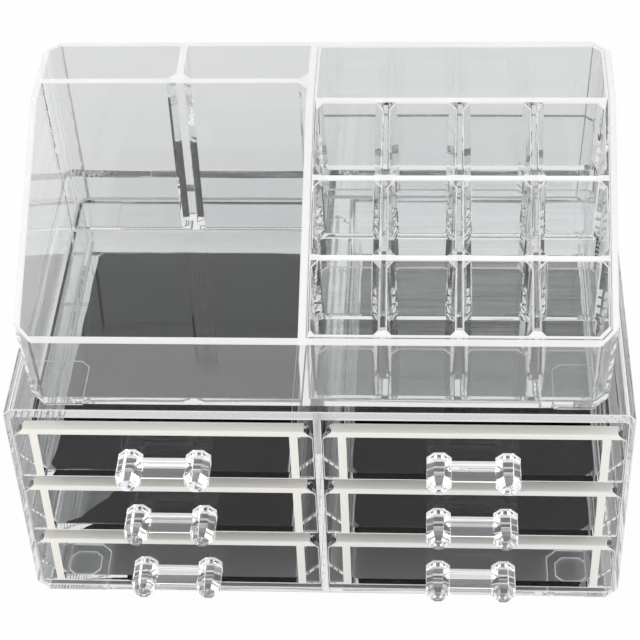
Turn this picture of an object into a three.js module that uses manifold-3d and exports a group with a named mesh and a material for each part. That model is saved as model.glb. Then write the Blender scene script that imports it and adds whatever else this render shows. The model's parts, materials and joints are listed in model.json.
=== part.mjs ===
// Clear moulded makeup organizer: a six-drawer case, an upper tray and a lipstick rack.
// Millimetres. +Z is up, the drawers open towards -Y, and the origin is the middle of the footprint.
import * as THREE from 'three';
import { mergeVertices } from 'three/addons/utils/BufferGeometryUtils.js';
import Module from 'manifold-3d';

const wasm = await Module();
wasm.setup();

// Case
const caseWidth = 240;
const caseDepth = 150;
const caseWall = 2.5;
const roofThickness = 4.4;
const floorThickness = 2.8;
const partitionThickness = 3;
const roofChamfer = 2.8;
const baseChamfer = 4.5;
const bayRoofChamfer = 1.2;
const bayFloorChamfer = 2.2;
const caseFootHeight = 0.8;
const caseFootWidth = 24;
const caseFootDepth = 24;
const caseFootChamfer = 4;
const footRecessWidth = 12.8;
const footRecessDepth = 12.4;
const footRecessChamfer = 2.8;
const footRecessInset = 7.5;

// Drawers
const columnCount = 2;
const rowCount = 3;
const rowGap = 5.4;
const headroom = 6.3;
const slideGap = 0.3;
const drawerFrontHeight = 26.3;
const drawerFrontThickness = 2.6;
const drawerFrontChamfer = 3.6;
const lipDepth = 5.2;
const lipThickness = 2.6;
const lipGusset = 2.4;
const boxSetback = 6.2;
const boxRearRoom = 9;
const boxWall = 2.6;
const boxFloor = 2.4;
const boxChamfer = 3;
const boxInnerChamfer = 2;
const boxRimDrop = 1;
const runnerReach = 8.6;
const runnerThickness = 1.8;

// Mats
const matThickness = 0.8;
const matLift = 0.3;
const matSideMargin = 0.4;
const matFrontMargin = 2;
const matRearMargin = 8.3;
const lowMatFrontMargin = 19;
const matCorner = 2.5;

// Handles
const postSpacing = 26.3;
const handleDrop = 1.4;
const postLength = 15.1;
const collarRadius = 4.9;
const collarLength = 2.4;
const neckRadius = 4;
const neckLength = 0.8;
const ringRadius = 4.7;
const ringLength = 0.9;
const shaftRadius = 4.3;
const capRadius = 4.9;
const capLength = 4.6;
const capChamferLength = 2.2;
const capFlatRadius = 2.6;
const barHeight = 9;
const barDepth = 5.6;
const barSetback = 3.2;
const barBevel = 1.5;
const pinRadius = 1.9;
const pinGap = 0.3;
const pinProud = 0.8;

// Tray
const traySideInset = 10.1;
const trayFrontInset = 2.2;
const trayRearInset = 22.4;
const trayHeight = 77.6;
const trayFrontHeight = 33.9;
const trayRimLength = 35.2;
const trayDraft = 0.037;
const trayWall = 2.5;
const trayFloor = 2.2;
const trayFootHeight = 0.7;
const trayFootWidth = 21;
const trayFootDepth = 24;
const trayFootChamfer = 3;
const trayCorner = 6.5;
const pocketCorner = 3.4;
const dividerThickness = 3;
const mainDividerX = -4.2;
const shelfDividerInset = 104;
const pocketDividerX = -56.3;

// Rack
const rackColumns = 4;
const rackRows = 3;
const rackWall = 1;
const rackGap = 0.3;
const cupSideRim = 3.1;
const cupRowRim = 2.1;
const cupDraft = 0.028;
const cupOuterDraft = 0.018;
const cupSideWall = 0.7;
const cupRowWall = 1.6;
const cupCorner = 2.6;
const cupFloorThickness = 2.2;
const cupStepUp = 15.3;
const rackDeck = 2.2;
const troughDepth = 31.7;
const bridgeWidth = 5.4;
const bridgeHeight = 11.4;

// Resolution and tolerances
const overrun = 1;
const lap = 0.4;
const roundSides = 16;
const capSides = 8;
const weldDistance = 0.0001;

// Places that follow from the sizes above
const halfCase = caseWidth / 2;
const handleReach = pinGap + postLength;
const frontY = (handleReach - caseDepth) / 2;
const rearY = frontY + caseDepth;
const caseFloorTop = caseFootHeight + floorThickness;
const lowestDrawer = caseFloorTop + bayFloorChamfer + slideGap;
const rowPitch = drawerFrontHeight + rowGap;
const roofUnderside = lowestDrawer + (rowCount - 1) * rowPitch + drawerFrontHeight + headroom;
const caseHeight = roofUnderside + roofThickness;
const bayWidth = halfCase - caseWall - partitionThickness / 2;
const bayCentre = partitionThickness / 2 + bayWidth / 2;
const bayRear = rearY - caseWall;
const boxRear = bayRear - boxRearRoom;
const trayFloorUnderside = caseHeight + slideGap + trayFootHeight;
const trayFloorTop = trayFloorUnderside + trayFloor;
const trayTop = trayFloorUnderside + trayHeight;
const trayFrontTop = trayFloorUnderside + trayFrontHeight;
const trayHalfWidth = halfCase - traySideInset;
const trayFrontY = frontY + trayFrontInset;
const trayRearY = rearY - trayRearInset;
const trayBendY = trayRearY - trayRimLength;
const sideSlope = (trayTop - trayFrontTop) / (trayBendY - trayFrontY);

const clearMaterial = () => new THREE.MeshStandardMaterial({
  color: 0xe6ecec, roughness: 0.08, metalness: 0, transparent: true, opacity: 0.35,
});
const matMaterial = () => new THREE.MeshStandardMaterial({
  color: 0x2b2c2e, roughness: 0.95, metalness: 0,
});

const shapeOf = (points) => new THREE.Shape(points.map(([a, b]) => new THREE.Vector2(a, b)));

// A closed geometry as a solid that can be joined and cut
function solidOf(geometry) {
  geometry.deleteAttribute('normal');
  geometry.deleteAttribute('uv');
  const merged = mergeVertices(geometry, weldDistance);
  return new wasm.Manifold(new wasm.Mesh({
    numProp: 3,
    vertProperties: new Float32Array(merged.attributes.position.array),
    triVerts: new Uint32Array(merged.index.array),
  }));
}

function meshOf(name, solid, material) {
  const { vertProperties, triVerts } = solid.getMesh();
  const geometry = new THREE.BufferGeometry();
  geometry.setAttribute('position', new THREE.BufferAttribute(vertProperties, 3));
  geometry.setIndex(new THREE.BufferAttribute(triVerts, 1));
  geometry.computeVertexNormals();
  const mesh = new THREE.Mesh(geometry, material);
  mesh.name = name;
  return mesh;
}

// A bar whose section lies in X and Z, from nearY back to farY
function barAlongY(section, nearY, farY) {
  const depth = farY - nearY;
  const geometry = new THREE.ExtrudeGeometry(shapeOf(section), { depth, bevelEnabled: false });
  geometry.rotateX(Math.PI / 2);
  geometry.translate(0, farY, 0);
  return solidOf(geometry);
}

// A bar whose section lies in Y and Z, from leftX to rightX
function barAlongX(section, leftX, rightX) {
  const depth = rightX - leftX;
  const geometry = new THREE.ExtrudeGeometry(shapeOf(section), { depth, bevelEnabled: false });
  geometry.rotateY(Math.PI / 2);
  geometry.rotateX(Math.PI / 2);
  geometry.translate(leftX, 0, 0);
  return solidOf(geometry);
}

// An outline of a rectangle with cut corners, or with square ones where corner is 0
function cutCorners(left, right, low, high, corner) {
  if (corner === 0) {
    return [[left, low], [right, low], [right, high], [left, high]];
  }
  return [
    [left + corner, low], [right - corner, low], [right, low + corner], [right, high - corner],
    [right - corner, high], [left + corner, high], [left, high - corner], [left, low + corner],
  ];
}

// A standing block with cut corners whose sides lean out by widenX and widenY on the way up
function standingBlock({ left, right, front, rear, corner, bottom, top, widenX = 0, widenY = 0 }) {
  const height = top - bottom;
  const geometry = new THREE.ExtrudeGeometry(shapeOf(cutCorners(left, right, front, rear, corner)),
    { depth: height, bevelEnabled: false });
  const place = geometry.attributes.position;
  for (let i = 0; i < place.count; i += 1) {
    if (place.getZ(i) > height / 2) {
      place.setX(i, place.getX(i) + widenX * Math.sign(place.getX(i) - (left + right) / 2));
      place.setY(i, place.getY(i) + widenY * Math.sign(place.getY(i) - (front + rear) / 2));
    }
  }
  geometry.translate(0, 0, bottom);
  return solidOf(geometry);
}

// A plain block
function block(left, right, front, rear, bottom, top) {
  const geometry = new THREE.BoxGeometry(right - left, rear - front, top - bottom);
  geometry.translate((left + right) / 2, (front + rear) / 2, (bottom + top) / 2);
  return solidOf(geometry);
}

// A turned piece along Y; each profile point is a radius and a reach towards -Y, least reach first
function turned(profile, sides, x, y, z) {
  const points = profile.map(([radius, reach]) => new THREE.Vector2(radius, -reach)).reverse();
  const geometry = new THREE.LatheGeometry(points, sides);
  geometry.rotateY(Math.PI / sides);
  geometry.translate(x, y, z);
  return solidOf(geometry);
}

// The four corners of a footprint, as signs of X and Y
const cornerSigns = [[-1, -1], [1, -1], [1, 1], [-1, 1]];

// Case

function bayCutter(side) {
  const inner = partitionThickness / 2;
  const outer = inner + bayWidth;
  const section = [
    [inner, caseFloorTop], [outer - bayFloorChamfer, caseFloorTop],
    [outer, caseFloorTop + bayFloorChamfer],
    [outer, roofUnderside - bayRoofChamfer], [outer - bayRoofChamfer, roofUnderside],
    [inner, roofUnderside],
  ];
  return barAlongY(section.map(([x, z]) => [side * x, z]), frontY - overrun, bayRear);
}

// A slanted rib from a bay's wall that carries one lower edge of a drawer
function runner(wallX, inward, drawerZ) {
  const wallRise = drawerZ + boxSetback + boxChamfer - slideGap * Math.SQRT2;
  const drop = runnerThickness * Math.SQRT2;
  const section = [
    [-lap, wallRise + lap], [runnerReach, wallRise - runnerReach],
    [runnerReach, wallRise - runnerReach - drop], [-lap, wallRise + lap - drop],
  ];
  return barAlongY(section.map(([reach, z]) => [wallX + inward * reach, z]),
    frontY + lipDepth + slideGap, bayRear + lap);
}

function caseFoot(signX, signY) {
  const outerX = halfCase - baseChamfer;
  const endY = signY < 0 ? frontY : rearY;
  const outline = [
    [0, 0], [caseFootWidth, 0], [caseFootWidth, caseFootDepth - caseFootChamfer],
    [caseFootWidth - caseFootChamfer, caseFootDepth], [0, caseFootDepth],
  ];
  const geometry = new THREE.ExtrudeGeometry(
    shapeOf(outline.map(([a, b]) => [signX * (outerX - a), endY - signY * b])),
    { depth: caseFootHeight + lap, bevelEnabled: false });
  const centreX = signX * (outerX - footRecessInset - footRecessWidth / 2);
  const centreY = endY - signY * (footRecessInset + footRecessDepth / 2);
  const recess = standingBlock({
    left: centreX - footRecessWidth / 2, right: centreX + footRecessWidth / 2,
    front: centreY - footRecessDepth / 2, rear: centreY + footRecessDepth / 2,
    corner: footRecessChamfer, bottom: -overrun, top: caseFootHeight,
  });
  return { pad: solidOf(geometry), recess };
}

function drawerCase() {
  const low = caseFootHeight;
  const outline = [
    [-halfCase + baseChamfer, low], [halfCase - baseChamfer, low], [halfCase, low + baseChamfer],
    [halfCase, caseHeight - roofChamfer], [halfCase - roofChamfer, caseHeight],
    [-halfCase + roofChamfer, caseHeight], [-halfCase, caseHeight - roofChamfer],
    [-halfCase, low + baseChamfer],
  ];
  let body = barAlongY(outline, frontY, rearY).subtract(bayCutter(-1)).subtract(bayCutter(1));
  for (let row = 0; row < rowCount; row += 1) {
    const drawerZ = lowestDrawer + row * rowPitch;
    for (const side of [-1, 1]) {
      body = body.add(runner(side * (bayCentre - bayWidth / 2), side, drawerZ));
      body = body.add(runner(side * (bayCentre + bayWidth / 2), -side, drawerZ));
    }
  }
  for (const [signX, signY] of cornerSigns) {
    const { pad, recess } = caseFoot(signX, signY);
    body = body.add(pad).subtract(recess);
  }
  return body;
}

// Drawers

function drawer(side, row) {
  const bottom = lowestDrawer + row * rowPitch;
  const top = bottom + drawerFrontHeight;
  const centreX = side * bayCentre;
  const halfFront = bayWidth / 2 - slideGap;
  const halfBox = bayWidth / 2 - boxSetback;
  const atColumn = (section) => section.map(([x, z]) => [centreX + x, z]);
  const frontOutline = [
    [-halfFront, bottom], [halfFront, bottom], [halfFront, top - drawerFrontChamfer],
    [halfFront - drawerFrontChamfer, top], [-halfFront + drawerFrontChamfer, top],
    [-halfFront, top - drawerFrontChamfer],
  ];
  const boxTop = top - boxRimDrop;
  const boxOutline = [
    [-halfBox + boxChamfer, bottom], [halfBox - boxChamfer, bottom], [halfBox, bottom + boxChamfer],
    [halfBox, boxTop], [-halfBox, boxTop], [-halfBox, bottom + boxChamfer],
  ];
  const halfInside = halfBox - boxWall;
  const floorTop = bottom + boxFloor;
  const cavityOutline = [
    [-halfInside + boxInnerChamfer, floorTop], [halfInside - boxInnerChamfer, floorTop],
    [halfInside, floorTop + boxInnerChamfer], [halfInside, top + overrun], [-halfInside, top + overrun],
    [-halfInside, floorTop + boxInnerChamfer],
  ];
  const lipCutter = [
    [-halfFront - overrun, bottom - overrun], [halfFront + overrun, bottom - overrun],
    [halfFront + overrun, top - lipThickness], [-halfFront - overrun, top - lipThickness],
  ];
  const insideFront = frontY + drawerFrontThickness;
  const front = barAlongY(atColumn(frontOutline), frontY, frontY + lipDepth)
    .subtract(barAlongY(atColumn(lipCutter), insideFront, frontY + lipDepth + overrun));
  const box = barAlongY(atColumn(boxOutline), insideFront - lap, boxRear)
    .subtract(barAlongY(atColumn(cavityOutline), insideFront, boxRear - boxWall));
  let body = front.add(box);
  for (const end of [-1, 1]) {
    const gusset = [
      [end * (halfBox - lap), top - lipThickness - lipGusset - lap],
      [end * (halfBox + lipGusset + lap), top - lipThickness + lap / 2],
      [end * (halfBox - lap), top - lipThickness + lap / 2],
    ];
    body = body.add(barAlongY(atColumn(gusset), insideFront - lap, frontY + lipDepth));
    const hole = [
      [0, -drawerFrontThickness - overrun], [pinRadius + pinGap, -drawerFrontThickness - overrun],
      [pinRadius + pinGap, overrun], [0, overrun],
    ];
    const holeX = centreX + end * postSpacing / 2;
    body = body.subtract(turned(hole, roundSides, holeX, frontY, handleZ(bottom)));
  }
  return body;
}

function handleZ(drawerBottom) {
  return drawerBottom + drawerFrontHeight / 2 - handleDrop;
}

// Handles

function handle(side, row) {
  const z = handleZ(lowestDrawer + row * rowPitch);
  const centreX = side * bayCentre;
  const collarEnd = pinGap + collarLength;
  const neckEnd = collarEnd + neckLength;
  const ringEnd = neckEnd + ringLength;
  const capEnd = pinGap + postLength;
  const capStart = capEnd - capLength;
  const post = [
    [0, pinGap], [collarRadius, pinGap], [collarRadius, collarEnd], [neckRadius, collarEnd],
    [neckRadius, neckEnd], [ringRadius, neckEnd], [ringRadius, ringEnd], [shaftRadius, ringEnd],
    [shaftRadius, capStart + lap], [0, capStart + lap],
  ];
  const cap = [
    [0, capStart], [capRadius, capStart], [capRadius, capEnd - capChamferLength], [capFlatRadius, capEnd],
    [0, capEnd],
  ];
  const pin = [
    [0, -drawerFrontThickness - pinProud], [pinRadius, -drawerFrontThickness - pinProud],
    [pinRadius, pinGap + lap], [0, pinGap + lap],
  ];
  const barRear = frontY - barSetback;
  const barFront = barRear - barDepth;
  const barSection = cutCorners(barFront, barRear, z - barHeight / 2, z + barHeight / 2, barBevel);
  let body = barAlongX(barSection, centreX - postSpacing / 2, centreX + postSpacing / 2);
  for (const end of [-1, 1]) {
    const x = centreX + end * postSpacing / 2;
    for (const [profile, sides] of [[post, roundSides], [cap, capSides], [pin, roundSides]]) {
      body = body.add(turned(profile, sides, x, frontY, z));
    }
  }
  return body;
}

// Mats

function mat(side, row) {
  const margin = row === 0 ? lowMatFrontMargin : matFrontMargin;
  const halfMat = bayWidth / 2 - boxSetback - boxWall - boxInnerChamfer - matSideMargin;
  const bottom = lowestDrawer + row * rowPitch + boxFloor + matLift;
  return standingBlock({
    left: side * bayCentre - halfMat, right: side * bayCentre + halfMat,
    front: frontY + drawerFrontThickness + margin, rear: boxRear - boxWall - matRearMargin,
    corner: matCorner, bottom, top: bottom + matThickness,
  });
}

// Tray

// A block between the tray's walls, inset from its outer faces, that leans as they do
function trayBlock(inset, corner, bottom, top) {
  const start = trayDraft * (bottom - trayFloorUnderside);
  const lean = trayDraft * (top - bottom);
  return standingBlock({
    left: -trayHalfWidth - start + inset, right: trayHalfWidth + start - inset,
    front: trayFrontY - start + inset, rear: trayRearY + start - inset,
    corner, bottom, top, widenX: lean, widenY: lean,
  });
}

// One compartment of the tray, cut from the room inside its walls
function pocket(left, right, front, rear) {
  const wide = halfCase + overrun;
  const deep = caseDepth;
  const bottom = trayFloorTop;
  const top = trayTop + overrun;
  const room = trayBlock(trayWall, pocketCorner, bottom, top);
  const slice = standingBlock({
    left: left ?? -wide, right: right ?? wide, front: front ?? -deep, rear: rear ?? deep,
    corner: pocketCorner, bottom, top,
  });
  return room.intersect(slice);
}

// The room above the slanted rims
function aboveSlope() {
  const section = [
    [trayFrontY - trayHeight, trayFrontTop - trayHeight * sideSlope], [trayBendY, trayTop],
    [rearY, trayTop], [rearY, trayTop + trayHeight], [trayFrontY - trayHeight, trayTop + trayHeight],
  ];
  return barAlongX(section, -halfCase - overrun, halfCase + overrun);
}

function trayFoot(signX, signY) {
  const outline = [
    [0, trayCorner], [trayCorner, 0], [trayFootWidth, 0], [trayFootWidth, trayFootDepth - trayFootChamfer],
    [trayFootWidth - trayFootChamfer, trayFootDepth], [0, trayFootDepth],
  ];
  const endY = signY < 0 ? trayFrontY : trayRearY;
  const geometry = new THREE.ExtrudeGeometry(
    shapeOf(outline.map(([a, b]) => [signX * (trayHalfWidth - a), endY - signY * b])),
    { depth: trayFootHeight + lap, bevelEnabled: false });
  geometry.translate(0, 0, trayFloorUnderside - trayFootHeight);
  return solidOf(geometry);
}

function upperTray() {
  const leftOfMain = mainDividerX - dividerThickness / 2;
  const rightOfMain = mainDividerX + dividerThickness / 2;
  const shelfFront = frontY + shelfDividerInset - dividerThickness / 2;
  const shelfRear = frontY + shelfDividerInset + dividerThickness / 2;
  let body = trayBlock(0, trayCorner, trayFloorUnderside, trayTop)
    .subtract(pocket(null, leftOfMain, null, shelfFront))
    .subtract(pocket(null, pocketDividerX - dividerThickness / 2, shelfRear, null))
    .subtract(pocket(pocketDividerX + dividerThickness / 2, leftOfMain, shelfRear, null))
    .subtract(pocket(rightOfMain, null, null, null))
    .subtract(aboveSlope());
  for (const [signX, signY] of cornerSigns) {
    body = body.add(trayFoot(signX, signY));
  }
  return body;
}

// Rack

const rackLeft = mainDividerX + dividerThickness / 2 + rackGap;
const rackInset = trayWall + rackGap;
const rackBottom = trayFloorTop + rackGap;
const frontRimLean = trayDraft * trayFrontHeight;
const sideRimLean = trayDraft * (trayFrontHeight + trayHeight) / 2;
const openingsLeft = rackLeft + rackWall;
const openingsRight = trayHalfWidth + sideRimLean - rackInset - rackWall;
const rackColumnPitch = (openingsRight - openingsLeft + cupSideRim) / rackColumns;
const rackFrontLine = trayFrontY - frontRimLean + rackInset + rackWall - cupRowRim / 2;
const rackRowPitch = (trayBendY - rackFrontLine) / rackRows;

const slopeHeight = (y) => trayFrontTop + (y - trayFrontY) * sideSlope;
const cupFloorHeight = (row) => rackBottom + cupFloorThickness - lap + row * cupStepUp;

// The outer shape or the hollow of one cup, which has its full width where it meets the slanted rim
function cup(column, row, { sideWall, rowWall, draft, corner, bottom, top }) {
  const openingLeft = openingsLeft + column * rackColumnPitch;
  const openingRight = openingLeft + rackColumnPitch - cupSideRim;
  const openingFront = rackFrontLine + row * rackRowPitch;
  const openingRear = openingFront + rackRowPitch - cupRowRim;
  const lean = draft * (slopeHeight((openingFront + openingRear) / 2) - bottom);
  return standingBlock({
    left: openingLeft + lean - sideWall, right: openingRight - lean + sideWall,
    front: openingFront - rowWall, rear: openingRear + rowWall,
    corner, bottom, top, widenX: draft * (top - bottom),
  });
}

// The slanted sheet that joins the cups' rims
function rackDeckPlate() {
  const top = trayTop + overrun;
  return barAlongX([
    [frontY, slopeHeight(frontY) - rackDeck], [trayBendY - cupRowRim, trayTop - rackDeck],
    [trayBendY, trayTop - rackDeck], [trayBendY, top], [frontY, top],
  ], rackLeft - overrun, halfCase);
}

// The floor under one row of cups, across the whole rack
function rowFloor(row) {
  const front = rackFrontLine + row * rackRowPitch;
  const top = cupFloorHeight(row);
  return block(rackLeft - overrun, halfCase, front, front + rackRowPitch - cupRowRim / 2,
    top - cupFloorThickness, top);
}

// A bridge that closes the gap between two columns low down in the front row
function rackBridge(column) {
  const centreX = openingsLeft + column * rackColumnPitch - cupSideRim / 2;
  const front = rackFrontLine - cupRowRim;
  return block(centreX - bridgeWidth / 2, centreX + bridgeWidth / 2, front, front + rackRowPitch,
    rackBottom - lap, rackBottom + bridgeHeight);
}

// The open box behind the cups
function rackTrough() {
  const floorZ = trayTop - troughDepth;
  const front = trayBendY - cupRowRim;
  return block(rackLeft - overrun, halfCase, front, rearY, floorZ - cupFloorThickness, floorZ)
    .add(block(rackLeft - overrun, halfCase, front, trayBendY, floorZ - lap, trayTop + overrun));
}

function lipstickRack() {
  const top = trayTop + overrun;
  const leftPart = (x) => block(-halfCase, x, frontY - overrun, rearY + overrun, 0, top + overrun);
  const room = trayBlock(rackInset, pocketCorner, rackBottom, top).subtract(leftPart(rackLeft));
  const inside = trayBlock(rackInset + rackWall, pocketCorner, rackBottom - overrun, top + overrun)
    .subtract(leftPart(openingsLeft));
  let body = rackDeckPlate().add(rackTrough());
  let hollows = null;
  for (let row = 0; row < rackRows; row += 1) {
    const floorZ = cupFloorHeight(row);
    body = body.add(rowFloor(row));
    for (let column = 0; column < rackColumns; column += 1) {
      body = body.add(cup(column, row, {
        sideWall: cupSideWall, rowWall: cupRowWall, draft: cupOuterDraft, corner: 0,
        bottom: floorZ - cupFloorThickness, top: trayTop,
      }));
      const hollow = cup(column, row, {
        sideWall: 0, rowWall: 0, draft: cupDraft, corner: cupCorner, bottom: floorZ, top,
      });
      hollows = hollows ? hollows.add(hollow) : hollow;
    }
  }
  for (let column = 1; column < rackColumns; column += 1) {
    body = body.add(rackBridge(column));
  }
  return body.intersect(room)
    .add(room.subtract(inside))
    .subtract(hollows.intersect(inside))
    .subtract(aboveSlope());
}

const organizer = new THREE.Group();
organizer.add(meshOf('drawer_case', drawerCase(), clearMaterial()));
organizer.add(meshOf('upper_tray', upperTray(), clearMaterial()));
organizer.add(meshOf('lipstick_rack', lipstickRack(), clearMaterial()));
const sides = [[-1, 'left'], [1, 'right']].slice(0, columnCount);
const levels = ['bottom', 'middle', 'top'].slice(0, rowCount);
for (const [side, sideName] of sides) {
  levels.forEach((level, row) => {
    organizer.add(meshOf(`drawer_${level}_${sideName}`, drawer(side, row), clearMaterial()));
    organizer.add(meshOf(`handle_${level}_${sideName}`, handle(side, row), clearMaterial()));
    organizer.add(meshOf(`mat_${level}_${sideName}`, mat(side, row), matMaterial()));
  });
}

export default organizer;
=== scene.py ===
import json
import math

import bmesh
import bpy
from mathutils import Matrix, Vector


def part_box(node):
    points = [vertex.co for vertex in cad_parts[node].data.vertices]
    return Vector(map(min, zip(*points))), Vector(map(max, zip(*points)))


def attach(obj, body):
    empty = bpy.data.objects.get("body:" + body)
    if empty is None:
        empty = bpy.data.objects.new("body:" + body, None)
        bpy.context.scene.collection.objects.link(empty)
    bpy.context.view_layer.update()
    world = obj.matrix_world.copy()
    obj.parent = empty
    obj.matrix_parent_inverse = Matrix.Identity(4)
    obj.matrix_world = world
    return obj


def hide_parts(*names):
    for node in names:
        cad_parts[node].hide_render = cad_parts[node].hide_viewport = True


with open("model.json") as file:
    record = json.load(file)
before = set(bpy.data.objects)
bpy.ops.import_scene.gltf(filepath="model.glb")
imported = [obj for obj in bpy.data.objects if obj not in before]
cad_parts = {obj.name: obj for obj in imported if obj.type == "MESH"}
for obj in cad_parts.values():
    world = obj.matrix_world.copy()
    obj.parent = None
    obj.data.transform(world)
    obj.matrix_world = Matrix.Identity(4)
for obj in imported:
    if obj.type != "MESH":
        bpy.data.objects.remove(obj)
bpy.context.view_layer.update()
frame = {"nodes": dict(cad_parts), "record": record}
mm = 0.001
bodyOf = {node: body for body, nodes in frame["record"]["behaviour"]["bodies"].items() for node in nodes}
drawerKeys = [level + "_" + side for side in ("left", "right") for level in ("bottom", "middle", "top")]

# Camera of the photograph
camera = {
    "place": (43.246 * mm, -566.488 * mm, 611.334 * mm),
    "down": 42.414,  # degrees below level
    "turn": -4.598,  # degrees, towards +X is positive
    "roll": -2.737,
    "lens": 106.108,
    "sensor": 36,
    "clipStart": 10 * mm,
}


def putCamera():
    down, turn, roll = (math.radians(camera[k]) for k in ("down", "turn", "roll"))
    forward = Vector((math.sin(turn) * math.cos(down), math.cos(turn) * math.cos(down), -math.sin(down)))
    levelRight = Vector((math.cos(turn), -math.sin(turn), 0))
    levelUp = levelRight.cross(forward)
    right = math.cos(roll) * levelRight + math.sin(roll) * levelUp
    up = -math.sin(roll) * levelRight + math.cos(roll) * levelUp
    eye = bpy.data.objects.new("photoCamera", bpy.data.cameras.new("photoCamera"))
    bpy.context.scene.collection.objects.link(eye)
    eye.data.lens = camera["lens"]
    eye.data.sensor_width = camera["sensor"]
    eye.data.clip_start = camera["clipStart"]
    turned = Matrix((right, up, -forward)).transposed().to_4x4()
    eye.matrix_world = Matrix.Translation(camera["place"]) @ turned
    bpy.context.scene.camera = eye


putCamera()
print("camera in place")


# Materials
def newGroup(name, inputs, output):
    group = bpy.data.node_groups.new(name, "ShaderNodeTree")
    for label, value in inputs.items():
        kind = "NodeSocketVector" if label == "Stretch" else "NodeSocketFloat"
        group.interface.new_socket(label, in_out="INPUT", socket_type=kind).default_value = value
    group.interface.new_socket(output, in_out="OUTPUT", socket_type="NodeSocketFloat")
    return group, group.nodes.new("NodeGroupInput"), group.nodes.new("NodeGroupOutput")


# Faint flow lines and waves that moulding leaves in a clear wall
def makeMouldFlow():
    group, ins, outs = newGroup("mouldFlow", {"Stretch": (1, 1, 1), "Waves": 30, "Lines": 90}, "Height")
    nodes, links = group.nodes, group.links
    place = nodes.new("ShaderNodeTexCoord")
    turn = nodes.new("ShaderNodeMapping")
    links.new(place.outputs["Object"], turn.inputs["Vector"])
    links.new(ins.outputs["Stretch"], turn.inputs["Scale"])
    waves = nodes.new("ShaderNodeTexNoise")
    waves.inputs["Detail"].default_value = 1
    links.new(place.outputs["Object"], waves.inputs["Vector"])
    links.new(ins.outputs["Waves"], waves.inputs["Scale"])
    lines = nodes.new("ShaderNodeTexNoise")
    lines.inputs["Detail"].default_value = 2
    links.new(turn.outputs["Vector"], lines.inputs["Vector"])
    links.new(ins.outputs["Lines"], lines.inputs["Scale"])
    both = nodes.new("ShaderNodeMath")
    both.operation = "ADD"
    links.new(waves.outputs["Fac"], both.inputs[0])
    links.new(lines.outputs["Fac"], both.inputs[1])
    links.new(both.outputs[0], outs.inputs["Height"])
    return group


mouldFlow = makeMouldFlow()


def startMaterial(name):
    material = bpy.data.materials.new(name)
    material.use_nodes = True
    tree = material.node_tree
    return material, tree.nodes, tree.links, tree.nodes["Principled BSDF"]


def addBump(nodes, links, shader, height, strength, distance):
    bump = nodes.new("ShaderNodeBump")
    bump.inputs["Strength"].default_value = strength
    bump.inputs["Distance"].default_value = distance
    links.new(height, bump.inputs["Height"])
    links.new(bump.outputs["Normal"], shader.inputs["Normal"])


def addFlow(nodes, links, shader, look):
    flow = nodes.new("ShaderNodeGroup")
    flow.node_tree = mouldFlow
    flow.inputs["Stretch"].default_value = look["stretch"]
    flow.inputs["Waves"].default_value = look["waves"]
    flow.inputs["Lines"].default_value = look["lines"]
    addBump(nodes, links, shader, flow.outputs["Height"], look["flow"], look["depth"])


# Mixes two colours, each given as a value or as another node's output
def mixedColour(nodes, links, factor, one, two):
    mix = nodes.new("ShaderNodeMix")
    mix.data_type = "RGBA"
    links.new(factor, mix.inputs[0])
    for socket, colour in zip(mix.inputs[6:8], (one, two)):
        if isinstance(colour, bpy.types.NodeSocket):
            links.new(colour, socket)
        else:
            socket.default_value = (*colour, 1)
    return mix.outputs[2]


def stretchedPlace(nodes, links, scale):
    place = nodes.new("ShaderNodeTexCoord")
    stretched = nodes.new("ShaderNodeMapping")
    stretched.inputs["Scale"].default_value = scale
    links.new(place.outputs["Object"], stretched.inputs["Vector"])
    return stretched.outputs["Vector"]


# Noise spread from its own range to another
def spreadNoise(nodes, links, place, scale, ownRange, outRange=(0, 1)):
    cloud = nodes.new("ShaderNodeTexNoise")
    cloud.inputs["Scale"].default_value = scale
    cloud.inputs["Detail"].default_value = 3
    links.new(place, cloud.inputs["Vector"])
    spread = nodes.new("ShaderNodeMapRange")
    spread.inputs["From Min"].default_value, spread.inputs["From Max"].default_value = ownRange
    spread.inputs["To Min"].default_value, spread.inputs["To Max"].default_value = outRange
    links.new(cloud.outputs["Fac"], spread.inputs["Value"])
    return spread.outputs["Result"]


def objectPlace(nodes):
    return nodes.new("ShaderNodeTexCoord").outputs["Object"]


# Painted sheen: level lines of emission, standing in for the lines of light a studio lamp leaves on a
# moulded wall
def paintedStreaksOf(nodes, links, look):
    place = stretchedPlace(nodes, links, look["streaks"])
    brightness = [look["paintedGlow"] * share for share in look["streakShares"]]
    return spreadNoise(nodes, links, place, 1, look["streakRange"], brightness)


# A moulded plastic, from quite clear to the cream of an edge seen end-on, with a painted glow: emission in
# its own tint that lights it though it is no lamp
def plastic(name, look):
    material, nodes, links, shader = startMaterial(name)
    cloud = spreadNoise(nodes, links, objectPlace(nodes), look["patch"], look["patchRange"])
    links.new(mixedColour(nodes, links, cloud, look["tint"], look["otherTint"]), shader.inputs["Base Color"])
    shader.inputs["Roughness"].default_value = look["roughness"]
    shader.inputs["IOR"].default_value = look["ior"]
    shader.inputs["Transmission Weight"].default_value = look["through"]
    shader.inputs["Specular Tint"].default_value = (look["mirror"], look["mirror"], look["mirror"], 1)
    # Painted glow: the surface gives off light in its tint, standing in for light it catches
    shader.inputs["Emission Color"].default_value = (*look["tint"], 1)
    shader.inputs["Emission Strength"].default_value = look["paintedGlow"]
    if look["streaks"]:
        links.new(paintedStreaksOf(nodes, links, look), shader.inputs["Emission Strength"])
    addFlow(nodes, links, shader, look)
    return material


# paintedGlow is the strength of a glow painted onto a plastic as emission, though it is no lamp; 0 leaves it
# unlit by itself
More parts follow.
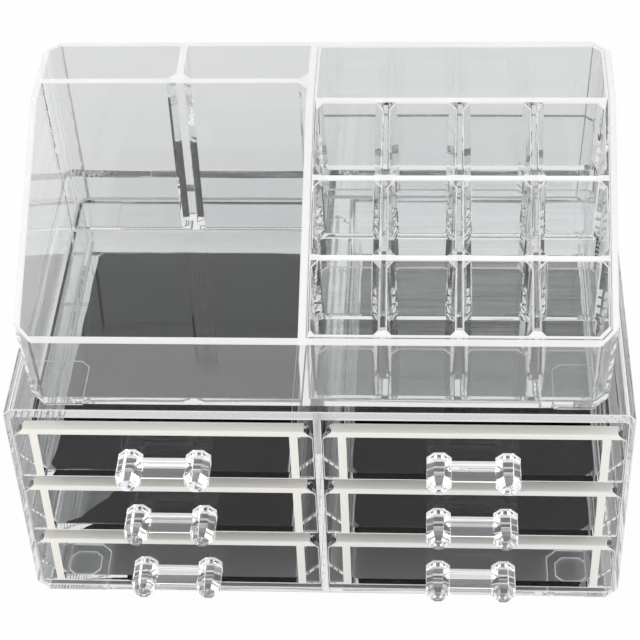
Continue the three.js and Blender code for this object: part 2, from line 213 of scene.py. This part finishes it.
flowLook = {"stretch": (0.12, 0.12, 2.2), "waves": 26, "lines": 110, "flow": 0.12, "depth": 0.2 * mm,
            "patch": 18, "patchRange": (0.35, 0.65), "paintedGlow": 0, "streaks": None}
clearLook = {**flowLook, "tint": (0.985, 0.99, 0.99), "otherTint": (0.975, 0.983, 0.985),
             "roughness": 0.01, "ior": 1.49, "mirror": 0.5, "through": 1}
hazyLook = {**flowLook, "tint": (0.985, 0.988, 0.988), "otherTint": (0.96, 0.968, 0.97),
            "roughness": 0.03, "ior": 1.49, "mirror": 1, "through": 0.92}
glossyLook = {**clearLook, "mirror": 1}
# Clear plastic with a painted sheen: streaks of glow laid on to lighten the walls
paintedSheenLook = {**clearLook, "mirror": 1, "paintedGlow": 0.06,
             "streaks": (20, 20, 800), "streakRange": (0.3, 0.75), "streakShares": (0.5, 1.8)}
# Painted highlight: a nearly white, barely clear plastic with a painted glow, for edges, rims and bands that
# catch light
paintedBrightLook = {**flowLook, "tint": (0.99, 0.99, 0.988), "otherTint": (0.95, 0.955, 0.955),
              "roughness": 0.2, "ior": 1.49, "mirror": 1, "through": 0.2, "paintedGlow": 0.06}
# A stronger painted glow, for the sides of the case's feet
paintedFootLook = {**paintedBrightLook, "paintedGlow": 0.3}
# Cream of thick plastic seen end-on, partly its real tint and partly painted light: nearly opaque, with a
# painted glow standing in for the light the wall guides out
creamGlowLook = {**flowLook, "tint": (0.97, 0.945, 0.87), "otherTint": (0.86, 0.855, 0.83), "patch": 5,
             "roughness": 0.15, "ior": 1.49, "mirror": 1, "through": 0.06, "paintedGlow": 0.13}
# Clear knobs with a painted glow, standing in for light caught inside them
knobLook = {**clearLook, "roughness": 0.0, "flow": 0.02, "mirror": 1, "paintedGlow": 0.055}
clearPlastic = plastic("clearPlastic", clearLook)
hazyPlastic = plastic("scuffedPlastic", hazyLook)
glossyPlastic = plastic("glossyPlastic", glossyLook)
paintedSheenPlastic = plastic("paintedSheenPlastic", paintedSheenLook)
paintedBrightEdge = plastic("paintedBrightEdge", paintedBrightLook)
creamGlowEdge = plastic("creamGlowEdge", creamGlowLook)
paintedFootGlow = plastic("paintedFootGlow", paintedFootLook)
knobPlastic = plastic("knobPlastic", knobLook)

linerLook = {"colour": (0.007, 0.007, 0.008), "otherColour": (0.013, 0.011, 0.013),
             "streaks": (3, 60, 1), "streakScale": 12,
             "creaseColour": (0.05, 0.05, 0.052), "creaseAt": 0.36, "dashes": 650,
             "fibre": 1400, "fibreRange": (0.2, 0.8), "bump": 0.1 * mm, "bumpStrength": 0.5,
             "roughness": 0.8, "gloss": 0.15}


# A thin black liner with a fine fibre and one faint dashed crease across it; streaks of a slightly pinker
# black along it are painted faint reflection tints
def linerMaterial(look):
    material, nodes, links, shader = startMaterial("blackLiner")
    # Painted reflection tints: streaks of a slightly pinker black
    streak = nodes.new("ShaderNodeTexNoise")
    streak.inputs["Scale"].default_value = look["streakScale"]
    links.new(stretchedPlace(nodes, links, look["streaks"]), streak.inputs["Vector"])
    plain = mixedColour(nodes, links, streak.outputs["Fac"], look["colour"], look["otherColour"])
    crease = nodes.new("ShaderNodeAttribute")
    crease.attribute_name = "crease"
    dash = nodes.new("ShaderNodeTexNoise")
    dash.inputs["Scale"].default_value = look["dashes"]
    links.new(objectPlace(nodes), dash.inputs["Vector"])
    dashed = nodes.new("ShaderNodeMath")
    dashed.operation = "MULTIPLY"
    links.new(crease.outputs["Fac"], dashed.inputs[0])
    links.new(dash.outputs["Fac"], dashed.inputs[1])
    creased = mixedColour(nodes, links, dashed.outputs[0], plain, look["creaseColour"])
    links.new(creased, shader.inputs["Base Color"])
    shader.inputs["Roughness"].default_value = look["roughness"]
    shader.inputs["Specular IOR Level"].default_value = look["gloss"]
    grain = spreadNoise(nodes, links, objectPlace(nodes), look["fibre"], look["fibreRange"])
    addBump(nodes, links, shader, grain, look["bumpStrength"], look["bump"])
    return material


blackLiner = linerMaterial(linerLook)
print("materials made")


# Modelling
def deselectAll():
    if bpy.context.mode != "OBJECT":
        bpy.ops.object.mode_set(mode="OBJECT")
    bpy.ops.object.select_all(action="DESELECT")


def pickOnly(piece):
    deselectAll()
    piece.select_set(True)
    bpy.context.view_layer.objects.active = piece


def finishPiece(piece, node):
    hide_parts(node)
    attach(piece, bodyOf[node])
    print(piece.name, "ready,", len(piece.data.polygons), "faces")


modelling = {"weld": 0.02 * mm, "shortEdge": 1.5 * mm, "levelSlack": 0.2 * mm,
             "flatAngle": 0.5, "sharpAngle": 25}  # angles in degrees


# A merged copy of a moulded node, with each large flat face in one
def mergedCopy(node, name):
    source = frame["nodes"][node]
    piece = bpy.data.objects.new(name, source.data.copy())
    piece.data.name = name
    piece.data.materials.clear()
    bpy.context.scene.collection.objects.link(piece)
    pickOnly(piece)
    bpy.ops.object.mode_set(mode="EDIT")
    bpy.ops.mesh.select_all(action="SELECT")
    bpy.ops.mesh.remove_doubles(threshold=modelling["weld"])
    bpy.ops.mesh.dissolve_degenerate(threshold=modelling["weld"])
    bpy.ops.mesh.dissolve_limited(angle_limit=math.radians(modelling["flatAngle"]))
    bpy.ops.object.mode_set(mode="OBJECT")
    return piece


# Cuts narrow strips of the second material along outward edges or, with side=-1, inward ones; in every piece
# that material is the bright edge plastic, so the strips are painted highlight lines
def bevelPaintedHighlights(piece, width, wanted=lambda edge: True, side=1):
    pickOnly(piece)
    bpy.ops.object.mode_set(mode="EDIT")
    bpy.ops.mesh.select_mode(type="EDGE")
    bpy.ops.mesh.select_all(action="DESELECT")
    shape = bmesh.from_edit_mesh(piece.data)
    sharp = math.radians(modelling["sharpAngle"])
    for edge in shape.edges:
        if edge.is_manifold and side * edge.calc_face_angle_signed() > sharp:
            if edge.calc_length() > modelling["shortEdge"] and wanted(edge):
                edge.select_set(True)
    bmesh.update_edit_mesh(piece.data)
    bpy.ops.mesh.bevel(offset=width, segments=1, affect="EDGES", clamp_overlap=False, material=1)
    bpy.ops.object.mode_set(mode="OBJECT")


def selectFaces(piece, wanted):
    bpy.ops.mesh.select_all(action="DESELECT")
    shape = bmesh.from_edit_mesh(piece.data)
    for face in shape.faces:
        face.select_set(wanted(face.normal, face.calc_center_median()))
    bmesh.update_edit_mesh(piece.data)


# Splits the faces that wanted() picks along flat cuts, each a place and a normal
def splitFaces(piece, wanted, cuts):
    pickOnly(piece)
    bpy.ops.object.mode_set(mode="EDIT")
    bpy.ops.mesh.select_mode(type="FACE")
    selectFaces(piece, wanted)
    bpy.ops.mesh.quads_convert_to_tris(quad_method="BEAUTY", ngon_method="BEAUTY")
    for place, normal in cuts:
        selectFaces(piece, wanted)
        bpy.ops.mesh.bisect(plane_co=place, plane_no=normal)
    bpy.ops.object.mode_set(mode="OBJECT")


def isLevelAt(edge, z):
    return all(abs(v.co.z - z) < modelling["levelSlack"] for v in edge.verts)


def addMaterials(piece, *materials):
    for material in materials:
        piece.data.materials.append(material)


# Gives the faces that wanted() picks a material slot
def paintFaces(piece, slot, wanted):
    for face in piece.data.polygons:
        if wanted(face.normal, face.center):
            face.material_index = slot


# Case
caseSizes = {"edge": 0.35 * mm, "frontFace": 0.5 * mm, "pad": 0.9 * mm}


def makeCase():
    piece = mergedCopy("drawer_case", "case_shell")
    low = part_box("drawer_case")[0]
    addMaterials(piece, clearPlastic, paintedBrightEdge, hazyPlastic, paintedFootGlow)
    # Outer edges get narrow strips of painted highlight
    bevelPaintedHighlights(piece, caseSizes["edge"])
    paintFaces(piece, 2, lambda n, c: n.y < -0.9 and c.y < low.y + caseSizes["frontFace"])
    # The sides of the feet get a painted glow
    paintFaces(piece, 3, lambda n, c: abs(n.z) < 0.8 and c.z < low.z + caseSizes["pad"])
    piece.data.shade_flat()
    finishPiece(piece, "drawer_case")


makeCase()

# Tray
traySizes = {"edge": 0.35 * mm, "fillet": 0.8 * mm, "floor": 2.2 * mm, "foot": 0.7 * mm,
             "rimHeight": 20 * mm, "outerWall": 8 * mm}


def makeTray():
    piece = mergedCopy("upper_tray", "tray_shell")
    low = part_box("upper_tray")[0]
    addMaterials(piece, clearPlastic, paintedBrightEdge, hazyPlastic, paintedSheenPlastic)
    # Outer edges get narrow strips of painted highlight
    bevelPaintedHighlights(piece, traySizes["edge"])
    floorTop = low.z + traySizes["foot"] + traySizes["floor"]
    # The inner fillets round the floor get painted highlight too
    bevelPaintedHighlights(piece, traySizes["fillet"], lambda edge: isLevelAt(edge, floorTop), side=-1)
    # Rim tops get the painted highlight plastic
    paintFaces(piece, 1, lambda n, c: n.z > 0.8 and c.z > low.z + traySizes["rimHeight"])
    paintFaces(piece, 2, lambda n, c: abs(n.z) < 0.5 and c.y < low.y + traySizes["outerWall"])
    # The inner face of the left wall gets the painted sheen
    paintFaces(piece, 3, lambda n, c: n.x > 0.9 and c.x < low.x + traySizes["outerWall"])
    piece.data.shade_flat()
    finishPiece(piece, "upper_tray")


makeTray()

# Rack: places and sizes of the rows' lines, steps and rims, from the front one to the rear one
rackSizes = {"edge": 0.3 * mm, "fillet": 0.5 * mm, "frontStrip": 3 * mm,
             "rowCount": 3, "rowLine": -63.6 * mm, "rowPitch": 29.57 * mm, "rowRim": 2.1 * mm,
             "stepWall": 0.5 * mm, "stepSlack": 0.3 * mm, "floorRise": 1.8 * mm, "floorStep": 15.3 * mm,
             "rimFront": -65.1 * mm, "rimDrop": 43.7 * mm, "rimSlope": 0.4845, "rimSlack": 1.5 * mm,
             "rimRear": 22.5 * mm}


def rimHeight(y):
    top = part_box("upper_tray")[1].z
    return min(top, top - rackSizes["rimDrop"] + rackSizes["rimSlope"] * (y - rackSizes["rimFront"]))


def makeRack():
    piece = mergedCopy("lipstick_rack", "rack_shell")
    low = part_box("lipstick_rack")[0]
    stripEnd = low.y + rackSizes["frontStrip"]
    rows = range(rackSizes["rowCount"])
    rowLines = [rackSizes["rowLine"] + row * rackSizes["rowPitch"] for row in rows[1:]]
    floors = [low.z + rackSizes["floorRise"] + row * rackSizes["floorStep"] for row in rows]
    # The painted sheen stops in front of the rear row's wall
    paintedSheenEnd = rowLines[-1] + rackSizes["rowPitch"] / 2

    def atStep(face):
        y = face.calc_center_median().y + rackSizes["stepWall"]
        return face.normal.y > 0.9 and any(abs(y - line) < rackSizes["stepSlack"] for line in rowLines)

    def onCupFloor(edge):
        return any(isLevelAt(edge, z) for z in floors) and all(v.co.y > stripEnd for v in edge.verts)

    def onRim(n, c):
        return n.z > 0.8 and abs(c.z - rimHeight(c.y)) < rackSizes["rimSlack"]

    def onCrossBar(n, c):
        between = any(-rackSizes["rowRim"] < c.y - line < 0 for line in rowLines)
        return onRim(n, c) and (between or not stripEnd < c.y < rackSizes["rimRear"])

    addMaterials(piece, glossyPlastic, paintedBrightEdge, paintedSheenPlastic)
    # Outer edges, apart from those at the steps, get strips of painted highlight
    bevelPaintedHighlights(piece, rackSizes["edge"], lambda edge: not any(atStep(face) for face in edge.link_faces))
    # The fillets round the cup floors get painted highlight
    bevelPaintedHighlights(piece, rackSizes["fillet"], onCupFloor, side=-1)
    barEdges = [y for line in rowLines for y in (line - rackSizes["rowRim"], line)]
    splitFaces(piece, onRim, [((0, y, 0), (0, 1, 0)) for y in barEdges])
    # The rack's crossbars and outer rims get the painted highlight plastic
    paintFaces(piece, 1, onCrossBar)
    # The rear walls of the first two rows of slots get the painted sheen
    paintFaces(piece, 2, lambda n, c: n.y < -0.9 and stripEnd < c.y < paintedSheenEnd)
    piece.data.shade_flat()
    finishPiece(piece, "lipstick_rack")


makeRack()

# Drawers
drawerSizes = {"edge": 0.3 * mm, "lip": 5.2 * mm, "lipEdge": 2.6 * mm, "wallInset": 5.9 * mm,
               "wall": 3.2 * mm, "foot": 0.6 * mm, "slack": 0.3 * mm}


def makeDrawer(key):
    node = "drawer_" + key
    piece = mergedCopy(node, node + "_tray")
    low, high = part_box(node)
    inset, wall = drawerSizes["wallInset"], drawerSizes["wall"]
    lipBottom, footTop = high.z - drawerSizes["lipEdge"], low.z + drawerSizes["foot"]
    sides = (low.x + inset, low.x + inset + wall, high.x - inset - wall, high.x - inset)

    def onFront(n, c):
        return n.y < -0.99 and c.y < low.y + drawerSizes["slack"]

    def isCream(n, c):
        inStrip = sides[0] < c.x < sides[1] or sides[2] < c.x < sides[3]
        onLip = n.z > 0.9 and c.z > high.z - drawerSizes["slack"] and c.y < low.y + drawerSizes["lip"]
        return onLip or (onFront(n, c) and (inStrip or c.z > lipBottom))

    addMaterials(piece, clearPlastic, paintedBrightEdge, creamGlowEdge)
    # Outer edges get narrow strips of painted highlight
    bevelPaintedHighlights(piece, drawerSizes["edge"])
    cuts = [((0, 0, z), (0, 0, 1)) for z in (lipBottom, footTop)]
    splitFaces(piece, onFront, cuts + [((x, 0, 0), (1, 0, 0)) for x in sides])
    # Lip tops, the lip band and the side walls' ends on the front are painted cream with a painted glow
    paintFaces(piece, 2, isCream)
    # A thin band along the foot of the front gets the painted highlight plastic
    paintFaces(piece, 1, lambda n, c: onFront(n, c) and c.z < footTop)
    piece.data.shade_flat()
    finishPiece(piece, node)


for key in drawerKeys:
    makeDrawer(key)

# Handles: reach from the drawer's front and radius to the flats, from the pin's end to the knob's face
handleSizes = {
    "spacing": 26.3 * mm,
    "pin": ((-3.4, 1.85), (0.3, 1.85)),
    "collar": ((0.3, 4.4), (0.6, 4.8), (3.0, 4.8)),
    "neck": ((3.4, 4.5), (3.6, 4.5)),
    "shaft": ((3.9, 4.7), (12.4, 4.8)),
    "cap": ((15.4, 2.9), (15.4, 2.1), (14.9, 1.9)),
    "barHeight": 9 * mm, "barDepth": 5.6 * mm, "barSetback": 3.2 * mm, "barBevel": 1.5 * mm,
}


# An eight-sided post along Y, drawn out step by step from its pin
def makePost(x, frontY, z):
    steps = [step for part in ("pin", "collar", "neck", "shaft", "cap") for step in handleSizes[part]]
    reach, radius = steps[0]
    toCorner = 1 / math.cos(math.pi / 8)
    bpy.ops.mesh.primitive_circle_add(vertices=8, radius=radius * mm * toCorner, fill_type="NGON",
                                      location=(x, frontY - reach * mm, z),
                                      rotation=(math.pi / 2, math.pi / 8, 0))
    post = bpy.context.object
    bpy.ops.object.mode_set(mode="EDIT")
    bpy.ops.mesh.select_mode(type="FACE")
    bpy.ops.mesh.select_all(action="SELECT")
    for nextReach, nextRadius in steps[1:]:
        bpy.ops.mesh.extrude_region_move(TRANSFORM_OT_translate={"value": (0, (reach - nextReach) * mm, 0)})
        scale = nextRadius / radius
        bpy.ops.transform.resize(value=(scale, 1, scale), center_override=(x, frontY - nextReach * mm, z))
        reach, radius = nextReach, nextRadius
    bpy.ops.mesh.select_all(action="SELECT")
    bpy.ops.mesh.remove_doubles(threshold=modelling["weld"])
    bpy.ops.mesh.normals_make_consistent(inside=False)
    bpy.ops.object.mode_set(mode="OBJECT")
    return post


def makeBar(x, frontY, z):
    depth, height = handleSizes["barDepth"], handleSizes["barHeight"]
    bpy.ops.mesh.primitive_cube_add(size=1, location=(x, frontY - handleSizes["barSetback"] - depth / 2, z),
                                    scale=(handleSizes["spacing"], depth, height))
    bar = bpy.context.object
    bpy.ops.object.transform_apply(location=True, rotation=True, scale=True)
    bpy.ops.object.mode_set(mode="EDIT")
    bpy.ops.mesh.select_mode(type="EDGE")
    bpy.ops.mesh.select_all(action="DESELECT")
    shape = bmesh.from_edit_mesh(bar.data)
    for edge in shape.edges:
        edge.select_set(abs(edge.verts[0].co.x - edge.verts[1].co.x) > 1 * mm)
    bmesh.update_edit_mesh(bar.data)
    bpy.ops.mesh.bevel(offset=handleSizes["barBevel"], segments=1, affect="EDGES")
    bpy.ops.object.mode_set(mode="OBJECT")
    return bar


def joinSolid(piece, other):
    pickOnly(piece)
    union = piece.modifiers.new("join", "BOOLEAN")
    union.operation = "UNION"
    union.solver = "EXACT"
    union.object = other
    bpy.ops.object.modifier_apply(modifier="join")
    bpy.data.objects.remove(other)


def makeHandleModel(key):
    low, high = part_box("handle_" + key)
    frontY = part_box("drawer_" + key)[0].y
    x, z = (low.x + high.x) / 2, (low.z + high.z) / 2
    deselectAll()
    handle = makeBar(x, frontY, z)
    for end in (-1, 1):
        deselectAll()
        joinSolid(handle, makePost(x + end * handleSizes["spacing"] / 2, frontY, z))
    # The knobs' plastic carries a painted glow
    addMaterials(handle, knobPlastic)
    pickOnly(handle)
    bpy.ops.object.transform_apply(location=True, rotation=True, scale=True)
    bpy.ops.object.mode_set(mode="EDIT")
    bpy.ops.mesh.select_all(action="SELECT")
    bpy.ops.mesh.remove_doubles(threshold=modelling["weld"])
    bpy.ops.object.mode_set(mode="OBJECT")
    handle.data.shade_flat()
    return handle


firstHandle = makeHandleModel(drawerKeys[0])
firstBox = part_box("handle_" + drawerKeys[0])
for key in drawerKeys:
    node = "handle_" + key
    copy = bpy.data.objects.new(node + "_knobs", firstHandle.data.copy())
    bpy.context.scene.collection.objects.link(copy)
    pickOnly(copy)
    bpy.ops.transform.translate(value=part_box(node)[0] - firstBox[0])
    bpy.ops.object.transform_apply(location=True, rotation=False, scale=False)
    finishPiece(copy, node)
bpy.data.objects.remove(firstHandle)

# Mats: thin liners with slightly wavy edges; leftEdge pairs millimetres from the front with an inset
matSizes = {"cells": 48, "thick": 0.9 * mm, "lift": -0.35 * mm, "corner": 2.5 * mm, "forward": 1.7 * mm,
            "wave": 0.35 * mm, "sideWaves": 260, "endWaves": 310,
            "leftEdge": {
                "middle_left": ((0, 5), (2.5, 8.5), (6, 10.5), (9, 14), (13, 18), (20, 21), (130, 22)),
                "top_left": ((0, 0), (10, 1.5), (130, 3)),
                "bottom_left": ((0, 21), (110, 24)),
            }}


def edgeInset(points, reach):
    for (near, nearInset), (far, farInset) in zip(points, points[1:]):
        if near * mm <= reach <= far * mm:
            share = (reach / mm - near) / (far - near)
            eased = share * share * (3 - 2 * share)
            return (nearInset + (farInset - nearInset) * eased) * mm
    return 0


def waveAt(place, waves):
    return matSizes["wave"] * (1 + math.sin(place * waves)) / 2


def makeMat(key):
    node = "mat_" + key
    low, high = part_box(node)
    deselectAll()
    centre = ((low.x + high.x) / 2, (low.y + high.y) / 2, low.z + matSizes["lift"])
    cells = matSizes["cells"]
    bpy.ops.mesh.primitive_grid_add(x_subdivisions=cells, y_subdivisions=cells, size=1, location=centre)
    bpy.ops.transform.resize(value=(high.x - low.x, high.y - low.y, 1), center_override=centre)
    piece = bpy.context.object
    piece.name = piece.data.name = node + "_liner"
    bpy.ops.object.transform_apply(location=True, rotation=True, scale=True)
    halfWidth, halfDepth = (high.x - low.x) / 2, (high.y - low.y) / 2
    creaseY = -halfDepth * linerLook["creaseAt"]
    leftEdge = matSizes["leftEdge"].get(key, ())
    forward = 0 if key.startswith("bottom") else matSizes["forward"]
    crease = piece.data.attributes.new("crease", "FLOAT", "POINT")
    for vertex, mark in zip(piece.data.vertices, crease.data):
        x, y = vertex.co.x - centre[0], vertex.co.y - centre[1]
        mark.value = max(0, 1 - abs(y - creaseY) / (halfDepth / cells))
        inset = max(0, matSizes["corner"] - (halfDepth - abs(y))) + waveAt(y, matSizes["sideWaves"])
        if x < 0:
            inset += edgeInset(leftEdge, y + halfDepth)
        vertex.co.x -= inset * x / halfWidth
        vertex.co.y -= y / halfDepth * waveAt(x, matSizes["endWaves"])
        vertex.co.y -= forward * (halfDepth - y) / (2 * halfDepth)
    pickOnly(piece)
    body = piece.modifiers.new("thickness", "SOLIDIFY")
    body.thickness = matSizes["thick"]
    body.offset = 1
    bpy.ops.object.modifier_apply(modifier="thickness")
    addMaterials(piece, blackLiner)
    finishPiece(piece, node)


for key in drawerKeys:
    makeMat(key)

# Studio: brightness levels, and heights in the world's ramp, where 0 is the horizon and 1 straight up
studio = {"floorSize": 8, "floorDrop": 0.2 * mm, "floorColour": 0.74, "floorRoughness": 0.9,
          "floorGlow": 0.975, "seenGlow": 0.04, "level": 1.0,
          "ramp": ((0.0, 0.85), (0.45, 0.85), (0.58, 0.85), (0.74, 0.85), (0.82, 1.0), (0.92, 1.2)),
          "wallBounces": 64, "diffuseBounces": 16}


# 1 for light seen in a reflection or through glass
def seenInGlass(nodes, links, path):
    seen = nodes.new("ShaderNodeMath")
    seen.operation = "MAXIMUM"
    links.new(path.outputs["Is Glossy Ray"], seen.inputs[0])
    links.new(path.outputs["Is Transmission Ray"], seen.inputs[1])
    return seen.outputs[0]


# A pale floor that the camera sees as nearly white, with the object's shadow on it
def makeFloor():
    deselectAll()
    bpy.ops.mesh.primitive_plane_add(size=studio["floorSize"], location=(0, 0, -studio["floorDrop"]))
    floor = bpy.context.object
    floor.name = "floor"
    material, nodes, links, shader = startMaterial("paleFloor")
    grey = studio["floorColour"]
    shader.inputs["Base Color"].default_value = (grey, grey, grey, 1)
    shader.inputs["Roughness"].default_value = studio["floorRoughness"]
    shader.inputs["Specular IOR Level"].default_value = 0
    path = nodes.new("ShaderNodeLightPath")
    little = nodes.new("ShaderNodeMath")
    little.operation = "MULTIPLY"
    little.inputs[1].default_value = studio["seenGlow"]
    links.new(seenInGlass(nodes, links, path), little.inputs[0])
    share = nodes.new("ShaderNodeMath")
    share.operation = "MULTIPLY_ADD"
    share.inputs[1].default_value = studio["floorGlow"]
    links.new(path.outputs["Is Camera Ray"], share.inputs[0])
    links.new(little.outputs[0], share.inputs[2])
    glow = nodes.new("ShaderNodeEmission")
    mix = nodes.new("ShaderNodeMixShader")
    links.new(share.outputs[0], mix.inputs[0])
    links.new(shader.outputs[0], mix.inputs[1])
    links.new(glow.outputs[0], mix.inputs[2])
    links.new(mix.outputs[0], nodes["Material Output"].inputs["Surface"])
    addMaterials(floor, material)


# White to the camera; in reflections and through glass a pale backdrop and a soft box above
def makeWorld():
    world = bpy.data.worlds.new("studio")
    bpy.context.scene.world = world
    world.use_nodes = True
    nodes, links = world.node_tree.nodes, world.node_tree.links
    back = nodes["Background"]
    place = nodes.new("ShaderNodeTexCoord")
    split = nodes.new("ShaderNodeSeparateXYZ")
    links.new(place.outputs["Generated"], split.inputs[0])
    ramp = nodes.new("ShaderNodeValToRGB")
    links.new(split.outputs["Z"], ramp.inputs["Fac"])
    stops = ramp.color_ramp.elements
    while len(stops) < len(studio["ramp"]):
        stops.new(0.5)
    for stop, (height, level) in zip(stops, studio["ramp"]):
        stop.position = height
        stop.color = (level, level, level, 1)
    seen = seenInGlass(nodes, links, nodes.new("ShaderNodeLightPath"))
    links.new(mixedColour(nodes, links, seen, (1, 1, 1), ramp.outputs["Color"]), back.inputs["Color"])
    back.inputs["Strength"].default_value = studio["level"]


makeFloor()
makeWorld()
scene = bpy.context.scene
scene.view_settings.view_transform = "Standard"
# Light runs far along a clear wall before it leaves
scene.cycles.max_bounces = studio["wallBounces"]
scene.cycles.transmission_bounces = studio["wallBounces"]
scene.cycles.glossy_bounces = studio["wallBounces"]
scene.cycles.diffuse_bounces = studio["diffuseBounces"]
print("studio ready")
